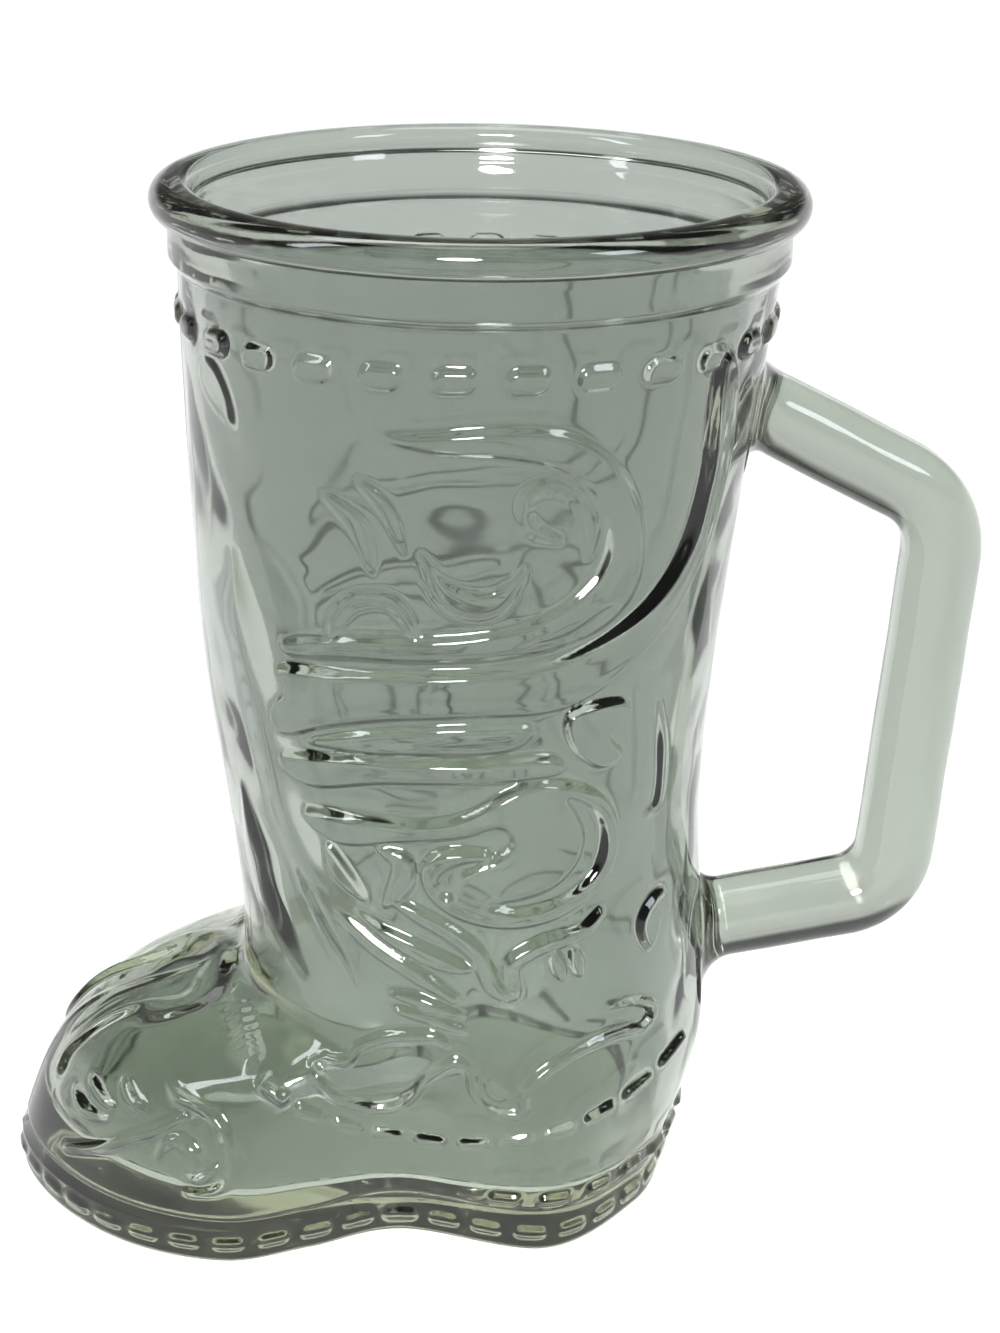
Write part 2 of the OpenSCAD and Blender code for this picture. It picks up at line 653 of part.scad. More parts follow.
// The row of dashes round the heel, just over the sole
heel_dashes = 7;
heel_dash_step = 13.5;
module heel_stitches() {
    z = floor_h + foot_dash_h / 2;
    color("#dfe8e2")
        both_sides()
            for (k = [0:heel_dashes - 1]) {
                a = (k + HALF_STEP) * heel_dash_step;
                swing = foot_dash_l / heel_w * 180 / PI;
                stitch(turn_spot(a - swing, z), turn_spot(a + swing, z));
            }
}

// The row of dashes round the sole's edge, evenly spaced
function run(points, k) = k == 0 ? 0 : run(points, k - 1) + norm(points[k] - points[k - 1]);
module welt_stitches() {
    runs = [for (k = [0:HALF]) [run(sole_points, k), k]];
    pitch = 2 * runs[HALF][0] / welt_dashes;
    z = sole_h / 2;
    color("#dfe8e2")
        difference() {
            both_sides()
                for (k = [0:welt_dashes / 2 - 1]) {
                    i = lookup((k + HALF_STEP) * pitch, runs);
                    p = at_place(sole_points, i);
                    way = at_place(sole_points, i - HALF_STEP) - at_place(sole_points, i + HALF_STEP);
                    translate([p[0], p[1], z])
                        rotate([0, 0, atan2(way[1], way[0])])
                            dash(foot_dash_l, foot_dash_h);
                }
            linear_extrude(sole_h)
                polygon(closed(sole_points));
        }
}

rim_bead();
collar_band();
leg();
foot();
sole();
handle();
leg_scrolls_near();
leg_scrolls_far();
leg_bands();
ankle_wings();
toe_scrolls();
collar_stitches();
counter_stitches();
heel_stitches();
welt_stitches();
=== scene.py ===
import math

import bpy
import numpy as np
from mathutils import Matrix, Vector


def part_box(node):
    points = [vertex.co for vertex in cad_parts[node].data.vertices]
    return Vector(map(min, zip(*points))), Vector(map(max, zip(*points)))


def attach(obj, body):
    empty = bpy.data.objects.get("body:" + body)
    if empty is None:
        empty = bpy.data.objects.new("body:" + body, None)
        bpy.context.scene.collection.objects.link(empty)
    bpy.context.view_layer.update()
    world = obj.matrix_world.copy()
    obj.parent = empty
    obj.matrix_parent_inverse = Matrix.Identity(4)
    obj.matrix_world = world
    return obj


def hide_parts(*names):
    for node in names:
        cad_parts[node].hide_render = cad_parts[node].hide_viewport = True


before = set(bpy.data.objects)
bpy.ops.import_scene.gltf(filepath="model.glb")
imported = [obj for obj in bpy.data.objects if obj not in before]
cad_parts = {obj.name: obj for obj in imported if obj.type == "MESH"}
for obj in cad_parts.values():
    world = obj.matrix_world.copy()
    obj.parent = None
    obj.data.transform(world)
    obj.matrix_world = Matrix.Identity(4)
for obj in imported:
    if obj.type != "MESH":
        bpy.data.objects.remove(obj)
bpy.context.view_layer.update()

# The glass of the whole mug is one casting, so one closed mesh stands for its regions: light
# crosses no inner wall between them. Sizes are in millimetres in the row's frame.
MM = 0.001


def corners(node):
    """Lowest and highest corner of a CAD node, in millimetres."""
    low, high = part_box(node)
    return np.array(low) / MM, np.array(high) / MM


# Sizes read from the frame
MUG_H = corners("rim_bead")[1][2]
BEAD_Z = corners("rim_bead")[0][2]
RIM_R = corners("rim_bead")[1][1]
COLLAR_R = corners("collar_band")[1][1]
LEG_TOP_Z = corners("leg")[1][2]
LEG_TOP_R = corners("leg")[1][0]
ANKLE_H = corners("foot")[1][2]
SOLE_H = corners("sole")[1][2]
TOE_REACH = -corners("sole")[0][0]
HEEL_REACH = corners("sole")[1][0]
BALL_W = 2 * corners("sole")[1][1]

# Sizes that the frame doesn't give, as in the part's source
WALL = 4.2
ANKLE_R = 33.2
VAMP_H = 36
COUNTER_H = 27
WAIST_W = 50.2
HEEL_W = 62
FLOOR_H = 8.2
FLOOR_ROUND = 3
SOLE_BEVEL = 1.1
LIP_ROUND = 1.6
BORE_R = LEG_TOP_R - WALL
COLLAR_BORE_R = COLLAR_R - WALL
MOUTH_R = COLLAR_BORE_R + 0.7
BEAD_ROUND = (MUG_H - BEAD_Z) / 2

# Steps of the mesh: points round half a ring, the height between rings on the outside and in the
# bore, and the angle in degrees from which an edge is drawn sharp
HALF = 380
RELIEF_STEP = 0.4
BORE_STEP = 1.5
SHARP_ANGLE = 55

# The camera that the photograph was taken from, fitted to the mug's outline
IMAGE_H = 1333
FOCAL_PX = 2514
CAMERA_PLACE = (-21.8, -337.6, 212.8)
CAMERA_YAW, CAMERA_DOWN, CAMERA_ROLL = 4.30, 21.56, 0.905


def make_camera():
    yaw, down, roll = map(math.radians, (CAMERA_YAW, CAMERA_DOWN, CAMERA_ROLL))
    level = math.cos(down)
    ahead = Vector((math.sin(yaw) * level, math.cos(yaw) * level, -math.sin(down)))
    right = Vector((math.cos(yaw), -math.sin(yaw), 0))
    up = right.cross(ahead)
    side = math.cos(roll) * right + math.sin(roll) * up
    top = math.cos(roll) * up - math.sin(roll) * right
    camera = bpy.data.objects.new("camera", bpy.data.cameras.new("camera"))
    bpy.context.scene.collection.objects.link(camera)
    turn = Matrix((side, top, -ahead)).transposed().to_4x4()
    camera.matrix_world = Matrix.Translation(Vector(CAMERA_PLACE) * MM) @ turn
    camera.data.sensor_width = 36
    camera.data.lens = camera.data.sensor_width * FOCAL_PX / IMAGE_H
    camera.data.clip_start = 0.01
    camera.data.clip_end = 20
    bpy.context.scene.camera = camera


# Shape of the boot: the same shares as in the part's source
LEG_LINE = np.array([
    [0, 0.10, 0.23], [0.20, 0.10, 0.23], [0.317, 0.12, 0.12], [0.382, 0.23, 0.03],
    [0.44, 0.38, 0], [0.52, 0.57, 0.05], [0.642, 0.78, 0.22], [0.793, 0.90, 0.53], [1, 1, 1],
])
VAMP_LINE = np.array([
    [0, 1], [0.17, 0.985], [0.34, 0.93], [0.51, 0.855], [0.65, 0.755], [0.74, 0.63],
    [0.795, 0.48], [0.85, 0.27], [0.91, 0.09], [0.98, 0.01], [1.06, 0],
])
HEEL_OUTLINE = [[1, 0], [0.93, 0.28], [0.76, 0.64], [0.30, 1]]
WAIST_OUTLINE = [[-0.165, 1]]
TOE_OUTLINE = [[-0.36, 0.91], [-0.54, 1], [-0.75, 0.83], [-0.92, 0.46], [-1, 0]]
OUTLINE_ANGLES = [0, 20, 41, 68, 100, 120, 136, 151, 165, 180]
TOE_FROM, TOE_OVER = 75, 45


def ease(t):
    t = np.clip(t, 0, 1)
    return t * t * (3 - 2 * t)


def column(table, x, col):
    """Value of a table's column at x, eased between its rows."""
    i = int(np.clip(np.searchsorted(table[:, 0], x, side="right") - 1, 0, len(table) - 2))

    def slope(k):
        a, b = table[max(k - 1, 0)], table[min(k + 1, len(table) - 1)]
        return (b[col] - a[col]) / (b[0] - a[0])

    a, b = table[i], table[i + 1]
    wide = b[0] - a[0]
    t = min((x - a[0]) / wide, 1)
    m, n = slope(i) * wide, slope(i + 1) * wide
    return ((2 * t**3 - 3 * t * t + 1) * a[col] + (t**3 - 2 * t * t + t) * m
            + (3 * t * t - 2 * t**3) * b[col] + (t**3 - t * t) * n)


def glide(a, b, c, d, t):
    """Smooth curve through four points, at share t between the middle two."""
    return (2 * b + (c - a) * t + (2 * a - 5 * b + 4 * c - d) * t * t
            + (3 * b - a - 3 * c + d) * t**3) / 2


def smooth(points, steps):
    """A smooth line through a few points."""
    p = np.array(points, float)
    last = len(p) - 1
    line = [p[0]]
    for k in range(last):
        for j in range(1, steps + 1):
            line.append(glide(p[max(k - 1, 0)], p[k], p[k + 1], p[min(k + 2, last)], j / steps))
    return np.array(line)


def closed_curve(points, steps):
    """A smooth closed line through a few points."""
    n = len(points)
    fours = [[points[(k + i) % n] for i in (-1, 0, 1, 2)] for k in range(n)]
    return np.array([glide(*four, j / steps) for four in fours for j in range(steps)])


def half_outline():
    """Half outline of the sole, a point for each turn round the leg."""
    knots = np.array(
        [[a * HEEL_REACH, b * HEEL_W / 2] for a, b in HEEL_OUTLINE]
        + [[a * TOE_REACH, b * WAIST_W / 2] for a, b in WAIST_OUTLINE]
        + [[a * TOE_REACH, b * BALL_W / 2] for a, b in TOE_OUTLINE]
    )
    last = len(knots) - 1

    def knot(i):
        if i < 0:
            return knots[-i] * (1, -1)
        return knots[2 * last - i] * (1, -1) if i > last else knots[i]

    points = []
    for turn in TURNS:
        k = min(int(np.searchsorted(OUTLINE_ANGLES, turn, side="right")) - 1, last - 1)
        t = (turn - OUTLINE_ANGLES[k]) / (OUTLINE_ANGLES[k + 1] - OUTLINE_ANGLES[k])
        points.append(glide(knot(k - 1), knot(k), knot(k + 1), knot(k + 2), t))
    return np.array(points)


TURNS = np.linspace(0, 180, HALF + 1)
EDGE = half_outline()
TOE_SHARES = ease((TURNS - TOE_FROM) / TOE_OVER)


def half_ring(z, roof_z):
    """Half ring of the outside at height z, with the vamp's line read at height roof_z."""
    front = ANKLE_R + (LEG_TOP_R - ANKLE_R) * column(LEG_LINE, z / LEG_TOP_Z, 1)
    back = ANKLE_R + (LEG_TOP_R - ANKLE_R) * column(LEG_LINE, z / LEG_TOP_Z, 2)
    toe = max(column(VAMP_LINE, min(roof_z / VAMP_H, VAMP_LINE[-1][0]), 1), 0)
    heel = 1 - ease(z / COUNTER_H)
    radius = (front + back) / 2
    turn = np.radians(TURNS)
    round_leg = np.c_[(back - front) / 2 + radius * np.cos(turn), radius * np.sin(turn)]
    share = (heel + (toe - heel) * TOE_SHARES)[:, None]
    return round_leg + share * (EDGE - round_leg)


def inset(half, by):
    """A half ring moved in by a distance, square to its edge."""
    along = np.gradient(half, axis=0)
    along[0] = (0, 1)
    along[-1] = (0, -1)
    along /= np.linalg.norm(along, axis=1)[:, None]
    moved = half - by * np.c_[along[:, 1], -along[:, 0]]
    moved[[0, -1], 1] = 0
    return moved


def at_z(half, z):
    """A flat half ring lifted to height z."""
    return np.c_[half, np.full(len(half), z)]


def circle(radius, z):
    """Half ring of a circle round the mouth's axis."""
    turn = np.radians(TURNS)
    return at_z(radius * np.c_[np.cos(turn), np.sin(turn)], z)


def levels(low, high, step):
    """Values from low to high, as near to a step apart as fits."""
    return np.linspace(low, high, max(int(round((high - low) / step)), 1) + 1)


# The tooling, drawn in the side view: across as shares of the leg's top radius, and up as shares
# of the way from the ankle plane to the leg's top. Each raised band or leaf has its width in
# millimetres and its middle line. The soft ones are lower, with wider edges
LEG_STRIPS = [
    (8.0, [[-0.822, 0.626], [-0.792, 0.539], [-0.743, 0.431], [-0.694, 0.324], [-0.636, 0.216],
     [-0.557, 0.136], [-0.474, 0.05], [-0.425, -0.028]]),
    (5.4, [[-0.817, 0.237], [-0.768, 0.14], [-0.719, 0.043], [-0.611, -0.043]]),
]
SOFT_BANDS = [
    (1.6, [[-0.504, 0.537], [-0.494, 0.574], [-0.433, 0.606], [-0.328, 0.611], [-0.264, 0.578],
     [-0.249, 0.544]]),
    (1.7, [[0.293, 0.675], [0.303, 0.718], [0.249, 0.759], [0.166, 0.781], [0.098, 0.772],
     [0.083, 0.744], [0.122, 0.715], [0.196, 0.701]]),
    (1.2, [[0.567, 0.411], [0.587, 0.343], [0.592, 0.284], [0.582, 0.239], [0.548, 0.23]]),
]
LEG_BANDS = [
    (2.2, [[-0.325, 0.134], [-0.232, 0.112], [-0.108, 0.078], [-0.029, 0.043], [0.015, -0.004],
     [0.083, -0.017], [0.078, 0.028], [0.181, 0.056], [0.313, 0.067], [0.381, 0.091]]),
    (2.4, [[-0.526, 0.112], [-0.401, 0.056], [-0.23, 0.009], [-0.112, -0.028]]),
]
SOFT_LEAVES = [
    (3.6, [[-0.23, 0.68], [-0.171, 0.63], [-0.073, 0.607], [0.015, 0.615], [0.088, 0.658]]),
    (2.4, [[-0.528, 0.755], [-0.425, 0.716], [-0.381, 0.652]]),
    (2.0, [[-0.421, 0.781], [-0.328, 0.74], [-0.284, 0.686]]),
    (3.4, [[-0.89, 0.906], [-0.866, 0.863], [-0.817, 0.82]]),
    (3.2, [[0.841, 0.874], [0.817, 0.826], [0.782, 0.777]]),
]
LEG_LEAVES = [
    (3.4, [[-0.367, 0.22], [-0.279, 0.194], [-0.293, 0.157], [-0.342, 0.119]]),
    (2.6, [[-0.528, 0.211], [-0.479, 0.162], [-0.401, 0.125]]),
    (3.4, [[0.572, 0], [0.567, 0.05], [0.616, 0.086]]),
    (2.0, [[0.21, 0.047], [0.235, 0.019], [0.254, -0.006]]),
    (2.0, [[0.279, 0.05], [0.298, 0.022], [0.318, -0.006]]),
    (2.6, [[-0.425, 0.097], [-0.328, 0.071], [-0.22, 0.047], [-0.108, 0.028], [-0.044, 0.026]]),
]
# The broad raised fields behind the lines, and the hollows in them, in the same view: a height or a
# depth and how wide its edge slopes, in millimetres, with the outline
FIELDS = [
    (0.9, 1.8, [[-0.342, 0.848], [-0.147, 0.859], [0.049, 0.865], [0.22, 0.854], [0.355, 0.809],
     [0.443, 0.74], [0.469, 0.669], [0.44, 0.609], [0.352, 0.567], [0.21, 0.544],
     [0.012, 0.532], [-0.232, 0.525], [-0.465, 0.518], [-0.636, 0.503], [-0.66, 0.518],
     [-0.538, 0.539], [-0.293, 0.554], [-0.073, 0.563], [0.112, 0.58], [0.254, 0.613],
     [0.342, 0.662], [0.342, 0.723], [0.279, 0.777], [0.161, 0.813], [0, 0.828],
     [-0.196, 0.833]]),
    (1.3, 1.1, [[-0.67, 0.479], [-0.465, 0.494], [-0.232, 0.504], [0.02, 0.511], [0.21, 0.524],
     [0.377, 0.552], [0.526, 0.598], [0.626, 0.663], [0.67, 0.75], [0.685, 0.841],
     [0.699, 0.928], [0.758, 0.917], [0.765, 0.82], [0.743, 0.734], [0.689, 0.643],
     [0.584, 0.557], [0.45, 0.498], [0.298, 0.457], [0.166, 0.442], [-0.073, 0.442],
     [-0.325, 0.431], [-0.513, 0.406], [-0.66, 0.373], [-0.697, 0.41], [-0.65, 0.442]]),
    (0.8, 1, [[-0.587, 0.371], [-0.44, 0.398], [-0.293, 0.414], [-0.098, 0.423], [0.083, 0.423],
     [0.132, 0.41], [0.073, 0.388], [-0.049, 0.38], [-0.22, 0.378], [-0.416, 0.371]]),
    (1.2, 1, [[-0.67, 0.337], [-0.489, 0.358], [-0.293, 0.366], [-0.098, 0.368], [0.073, 0.371],
     [0.205, 0.365], [0.22, 0.341], [0.073, 0.337], [-0.171, 0.334], [-0.367, 0.326],
     [-0.587, 0.3]]),
    (1.3, 1.1, [[-0.599, 0.255], [-0.44, 0.265], [-0.244, 0.268], [-0.098, 0.28], [0.093, 0.324],
     [0.227, 0.324], [0.367, 0.289], [0.425, 0.224], [0.406, 0.166], [0.323, 0.123],
     [0.193, 0.097], [0.037, 0.094], [-0.108, 0.114], [-0.2, 0.151], [-0.22, 0.194],
     [-0.156, 0.222], [-0.024, 0.222], [0.015, 0.211], [0.073, 0.237], [0.024, 0.263],
     [-0.098, 0.248], [-0.293, 0.235], [-0.489, 0.216]]),
    (1.2, 1, [[0.242, 0.431], [0.318, 0.442], [0.43, 0.436], [0.445, 0.406], [0.381, 0.384],
     [0.43, 0.352], [0.362, 0.337], [0.279, 0.367], [0.24, 0.399]]),
]
HOLLOWS = [
    (0.7, 1.2, [[0.073, 0.544], [0.22, 0.561], [0.347, 0.593], [0.372, 0.585], [0.259, 0.55]]),
    (1.2, 0.9, [[0.24, 0.302], [0.333, 0.274], [0.372, 0.227], [0.352, 0.173], [0.259, 0.136],
     [0.112, 0.121], [-0.01, 0.136], [0.073, 0.14], [0.205, 0.155], [0.284, 0.19],
     [0.303, 0.233], [0.274, 0.27]]),
    (1, 0.9, [[-0.166, 0.183], [-0.098, 0.205], [0.01, 0.209], [-0.083, 0.19], [-0.122, 0.151],
     [-0.161, 0.155]]),
]
# On the ankle, as shares of its radius and of the height where the leg starts
ANKLE_BANDS = [
    (1.2, [[-0.72, 0.667], [-0.70, 0.61], [-0.62, 0.55], [-0.475, 0.505],
           [-0.36, 0.52], [-0.29, 0.58], [-0.24, 0.665], [-0.14, 0.73], [-0.066, 0.70],
           [-0.05, 0.625], [0.02, 0.552], [0.155, 0.543], [0.16, 0.615], [0.24, 0.68],
           [0.377, 0.733], [0.555, 0.757], [0.69, 0.743], [0.73, 0.787], [0.65, 0.84],
           [0.51, 0.86]]),
    (1.3, [[-0.68, 0.68], [-0.585, 0.683], [-0.525, 0.735], [-0.41, 0.79], [-0.24, 0.817],
           [-0.16, 0.79]]),
]
ANKLE_LEAVES = [
    (1.8, [[-0.41, 0.945], [-0.27, 0.93], [-0.1, 0.887]]),
    (1.8, [[-0.39, 0.89], [-0.24, 0.88], [-0.08, 0.835]]),
    (1.8, [[0, 0.67], [0.04, 0.62], [0.085, 0.6]]),
]
COUNTER_LINE = [[-1.07, 0.73], [-0.96, 0.62], [-0.77, 0.52], [-0.48, 0.417],
                [-0.21, 0.395], [0.135, 0.44], [0.42, 0.478], [0.7, 0.545], [0.92, 0.622]]
COUNTER_DASHES = 12
# On the toe, as shares of its reach and of the vamp's height
TOE_BANDS = [
    (1.1, [[-0.88, 0.287], [-0.8, 0.371], [-0.73, 0.464], [-0.67, 0.53], [-0.613, 0.613]]),
    (1.2, [[-0.65, 0.716], [-0.63, 0.67], [-0.588, 0.655], [-0.555, 0.626], [-0.53, 0.558],
           [-0.515, 0.452], [-0.524, 0.383], [-0.557, 0.328], [-0.612, 0.31]]),
    (1.1, [[-0.674, 0.414], [-0.656, 0.486], [-0.63, 0.514], [-0.598, 0.48], [-0.588, 0.434]]),
    (1.1, [[-0.616, 0.374], [-0.582, 0.369], [-0.549, 0.431]]),
]
TOE_LEAVES = [
    (1.8, [[-0.86, 0.52], [-0.835, 0.469], [-0.78, 0.497]]),
    (1.8, [[-0.82, 0.594], [-0.8, 0.562], [-0.77, 0.537]]),
    (1.8, [[-0.74, 0.664], [-0.733, 0.611], [-0.695, 0.575]]),
]
# The cap line over the toe, in the front view: shares of half the ball's width and that height
CAP_LINE = [[0.26, 0.524], [0.235, 0.588], [0.245, 0.667], [0.238, 0.739], [0.226, 0.781],
            [0.266, 0.805], [0.35, 0.818], [0.342, 0.84], [0.254, 0.869], [0.1, 0.897], [0, 0.907]]
CAP_WIDTH = 1.8
# Heights of the relief, and how wide its edges slope
RELIEF = 1.1
RELIEF_EDGE = 0.9
DASH_RELIEF, DASH_EDGE = 0.85, 0.6
WELT_RELIEF = 0.5
STRIP_RELIEF = 1.1
SOFT_RELIEF, SOFT_EDGE = 0.55, 1.2
FOOT_RELIEF, FOOT_EDGE = 0.95, 0.6
FIELD_GAIN, FIELD_EDGE = 1.2, 0.8
# A fine line runs inside each field's edge
FIELD_LINE_GAP, FIELD_LINE_W, FIELD_LINE_DEPTH = 1.1, 0.3, 0.1
# Dashes: how many, and their length and width
COLLAR_DASHES, COLLAR_DASH, COLLAR_DASH_DROP = 28, (5.6, 3.0), 6.4
FOOT_DASH = (4.6, 1.6)
HEEL_DASH_STEP, HEEL_DASHES = 13.5, 7
WELT_DASHES = 42
GROOVE_DEPTH, GROOVE_W = 0.45, 0.7
SEAM_RELIEF, SEAM_W = 0.2, 0.45
SOFTENED = 1
# Points between two knots of a line, of a soft strip and of an outline
LINE_STEPS, STRIP_STEPS, OUTLINE_STEPS = 4, 12, 5
# A band's width at its ends, as a share, and how many knots it takes to widen; a leaf's blunt tip
TIP_SHARE, TIP_KNOTS, LEAF_TIP = 0.4, 1.5, 0.08


def taper(count, knots):
    """Shares of a band's width along it, smaller towards both ends."""
    share = np.minimum(np.linspace(0, 1, count), np.linspace(1, 0, count))
    return TIP_SHARE + (1 - TIP_SHARE) * ease(share * knots / TIP_KNOTS)


class Relief:
    """Heights of the raised work over a grid of points, each given by two flat coordinates."""

    def __init__(self, u, v):
        self.u, self.v = u, v
        self.h = np.zeros(u.shape)

    def band(self, line, widths, height=RELIEF, edge=RELIEF_EDGE):
        """A raised band along a line, with a width at each of the line's points."""
        reach = widths.max() / 2 + edge
        low, high = line.min(0) - reach, line.max(0) + reach
        near = (self.u > low[0]) & (self.u < high[0]) & (self.v > low[1]) & (self.v < high[1])
        p = np.c_[self.u[near], self.v[near]]
        best = np.full(len(p), reach)
        for a, b, wa, wb in zip(line[:-1], line[1:], widths[:-1], widths[1:]):
            way = b - a
            t = np.clip((p - a) @ way / max(way @ way, 1e-9), 0, 1)
            gap = np.linalg.norm(p - a - t[:, None] * way, axis=1) - (wa + (wb - wa) * t) / 2
            best = np.minimum(best, gap)
        self.h[near] = np.maximum(self.h[near], height * ease(0.5 - best / edge))

    def bands(self, table, size, start=(0, 0), height=RELIEF, slope=RELIEF_EDGE):
        """Bands with flat tops that thin out towards both ends."""
        for width, points in table:
            line = smooth(start + np.array(points) * size, LINE_STEPS)
            self.band(line, width * taper(len(line), len(points)), height, slope)

    def strips(self, table, size, start, height):
        """Bands with round tops."""
        for width, points in table:
            line = smooth(start + np.array(points) * size, STRIP_STEPS)
            self.band(line, width * taper(len(line), len(points)) - width / 2, height, width / 2)

    def leaves(self, table, size, start=(0, 0), height=RELIEF, slope=RELIEF_EDGE):
        """Bands that are widest in the middle and come to a tip at both ends."""
        for width, points in table:
            line = smooth(start + np.array(points) * size, LINE_STEPS)
            swell = np.sin(np.linspace(LEAF_TIP, np.pi - LEAF_TIP, len(line)))
            self.band(line, width * swell, height, slope)

    def depth_in(self, outline, reach):
        """Which points lie near an outline, and how far inside it they are."""
        low, high = outline.min(0) - reach, outline.max(0) + reach
        near = (self.u > low[0]) & (self.u < high[0]) & (self.v > low[1]) & (self.v < high[1])
        p = np.c_[self.u[near], self.v[near]]
        best = np.full(len(p), 1e9)
        inside = np.zeros(len(p), bool)
        for a, b in zip(outline, np.roll(outline, -1, axis=0)):
            way = b - a
            t = np.clip((p - a) @ way / max(way @ way, 1e-9), 0, 1)
            best = np.minimum(best, np.linalg.norm(p - a - t[:, None] * way, axis=1))
            if a[1] != b[1]:
                crossed = (a[1] > p[:, 1]) != (b[1] > p[:, 1])
                inside ^= crossed & (p[:, 0] < a[0] + (p[:, 1] - a[1]) * way[0] / way[1])
        return near, np.where(inside, best, -best)

    def fields(self, table, size, start):
        """Broad flat areas, raised, with a fine line inside their edge."""
        for height, edge, points in table:
            outline = closed_curve(start + np.array(points) * size, OUTLINE_STEPS)
            near, deep = self.depth_in(outline, edge)
            lift = FIELD_GAIN * height * ease(0.5 + deep / (FIELD_EDGE * edge))
            lift -= FIELD_LINE_DEPTH * np.exp(-(((deep - FIELD_LINE_GAP) / FIELD_LINE_W) ** 2))
            self.h[near] = np.maximum(self.h[near], lift)

    def hollows(self, table, size, start):
        """Areas that are sunk into a field."""
        for depth, edge, points in table:
            outline = closed_curve(start + np.array(points) * size, OUTLINE_STEPS)
            near, deep = self.depth_in(outline, edge)
            self.h[near] -= depth * ease(0.5 + deep / edge)

    def dash(self, a, b, width, height=DASH_RELIEF):
        """One raised stitch from a to b."""
        self.band(np.array([a, b]), np.array([width, width]), height, DASH_EDGE)


def side_relief(points):
    """Tooling that is drawn in the side view."""
    r = Relief(points[..., 0], points[..., 2])
    leg, ankle, toe = (LEG_TOP_R, LEG_TOP_Z - ANKLE_H), (ANKLE_R, ANKLE_H), (TOE_REACH, VAMP_H)
    r.fields(FIELDS, leg, (0, ANKLE_H))
    r.hollows(HOLLOWS, leg, (0, ANKLE_H))
    r.strips(LEG_STRIPS, leg, (0, ANKLE_H), STRIP_RELIEF)
    r.bands(SOFT_BANDS, leg, (0, ANKLE_H), SOFT_RELIEF, SOFT_EDGE)
    r.leaves(SOFT_LEAVES, leg, (0, ANKLE_H), SOFT_RELIEF, SOFT_EDGE)
    r.bands(LEG_BANDS, leg, (0, ANKLE_H))
    r.leaves(LEG_LEAVES, leg, (0, ANKLE_H))
    r.bands(ANKLE_BANDS, ankle, height=FOOT_RELIEF, slope=FOOT_EDGE)
    r.leaves(ANKLE_LEAVES, ankle, height=FOOT_RELIEF, slope=FOOT_EDGE)
    r.bands(TOE_BANDS, toe, height=FOOT_RELIEF, slope=FOOT_EDGE)
    r.leaves(TOE_LEAVES, toe, height=FOOT_RELIEF, slope=FOOT_EDGE)
    line = smooth(np.array(COUNTER_LINE) * ankle, 12)
    run = np.r_[0, np.cumsum(np.linalg.norm(np.diff(line, axis=0), axis=1))]
    pitch = run[-1] / COUNTER_DASHES
    reach = (FOOT_DASH[0] - FOOT_DASH[1]) / 2
    for k in range(COUNTER_DASHES):
        ends = [[np.interp((k + 0.5) * pitch + s, run, line[:, c]) for c in (0, 1)]
                for s in (-reach, reach)]
        r.dash(np.array(ends[0]), np.array(ends[1]), FOOT_DASH[1])
    return r.h


def ring_relief(points):
    """Rows of dashes that run round the mug: at the collar, the heel and the sole's edge."""
    step = np.linalg.norm(np.diff(points[..., :2], axis=1), axis=2)
    run = np.concatenate([np.zeros((len(points), 1)), np.cumsum(step, axis=1)], axis=1)
    r = Relief(run, points[..., 2])
    z = LEG_TOP_Z - COLLAR_DASH_DROP
    pitch = 2 * np.pi * LEG_TOP_R / COLLAR_DASHES
    reach = (COLLAR_DASH[0] - COLLAR_DASH[1]) / 2
    for k in range(-1, COLLAR_DASHES // 2 + 1):
        mid = (k + 0.5) * pitch
        r.dash(np.array([mid - reach, z]), np.array([mid + reach, z]), COLLAR_DASH[1])
    reach = (FOOT_DASH[0] - FOOT_DASH[1]) / 2
    z = FLOOR_H + FOOT_DASH[1] / 2
    for k in range(HEEL_DASHES):
        mid = (k + 0.5) * HEEL_DASH_STEP / 180 * np.pi * HEEL_W / 2
        r.dash(np.array([mid - reach, z]), np.array([mid + reach, z]), FOOT_DASH[1])
    z = SOLE_H / 2
    edge_run = run[np.argmin(np.abs(points[:, 0, 2] - z)), -1]
    pitch = 2 * edge_run / WELT_DASHES
    for k in range(WELT_DASHES // 2):
        mid = (k + 0.5) * pitch
        r.dash(np.array([mid - reach, z]), np.array([mid + reach, z]), FOOT_DASH[1], WELT_RELIEF)
    seam = np.minimum(run, run[:, -1:] - run)
    return np.maximum(r.h, SEAM_RELIEF * np.exp(-((seam / SEAM_W) ** 2)))


def front_relief(points):
    """The cap line, which is drawn in the front view of the toe."""
    r = Relief(points[..., 1], points[..., 2])
    line = smooth(np.array(CAP_LINE) * (BALL_W / 2, VAMP_H), 6)
    r.band(line, np.full(len(line), CAP_WIDTH), FOOT_RELIEF, FOOT_EDGE)
    return np.where(points[..., 0] < -ANKLE_R, r.h, 0)


# Unevenness of the glass: how many waves, their shortest and longest length and their height, and
# over what height it fades towards the seats
WAVES = 40
WAVE_SEED = 11
OUTSIDE_WAVE, OUTSIDE_FADE = (9, 26, 0.06), 6
BORE_WAVE, BORE_TOP_FADE, BORE_LOW_FADE = (8, 30, 0.17), 20, 6


def waviness(points, low, high, height):
    """Slight unevenness of pressed glass: many faint waves with lengths between low and high."""
    rng = np.random.default_rng(WAVE_SEED)
    total = np.zeros(points.shape[:-1])
    for _ in range(WAVES):
        way = rng.normal(size=3)
        way *= 2 * np.pi / rng.uniform(low, high) / np.linalg.norm(way)
        total += np.sin(points @ way + rng.uniform(0, 2 * np.pi))
    return height * total / math.sqrt(WAVES)


